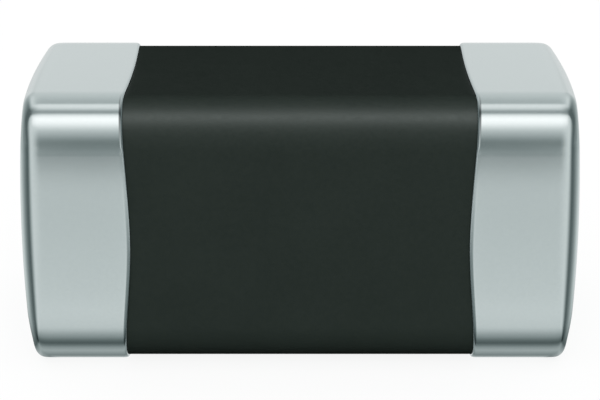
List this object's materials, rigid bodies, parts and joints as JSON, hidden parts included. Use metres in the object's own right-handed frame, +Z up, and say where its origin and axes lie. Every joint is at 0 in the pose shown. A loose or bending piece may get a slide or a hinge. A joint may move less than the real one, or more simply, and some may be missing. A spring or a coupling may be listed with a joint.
{
  "type": "chip ntc thermistor",
  "caption": "Surface-mount NTC thermistor chip, 1608 metric case: a dark sintered ceramic block with inner electrodes and bright tin-plated end caps",
  "frame": {"origin": "centre of the chip", "axes": "+X along the chip from the left cap to the right cap, +Y towards its back, +Z up from the board"},
  "size_m": [0.0016, 0.0008, 0.0008],
  "materials": {
    "ceramic": "satin",
    "tin": "satin",
    "nickel": "satin",
    "silver": "matte",
    "electrode_ink": "matte"
  },
  "bodies": {
    "root": {"ceramic_body": "ceramic", "inner_electrode_left_1": "electrode_ink", "inner_electrode_left_2": "electrode_ink", "inner_electrode_left_3": "electrode_ink", "inner_electrode_right_1": "electrode_ink", "inner_electrode_right_2": "electrode_ink", "inner_electrode_right_3": "electrode_ink", "silver_base_left": "silver", "silver_base_right": "silver", "nickel_barrier_left": "nickel", "nickel_barrier_right": "nickel", "tin_plating_left": "tin", "tin_plating_right": "tin"}
  },
  "joints": []
}
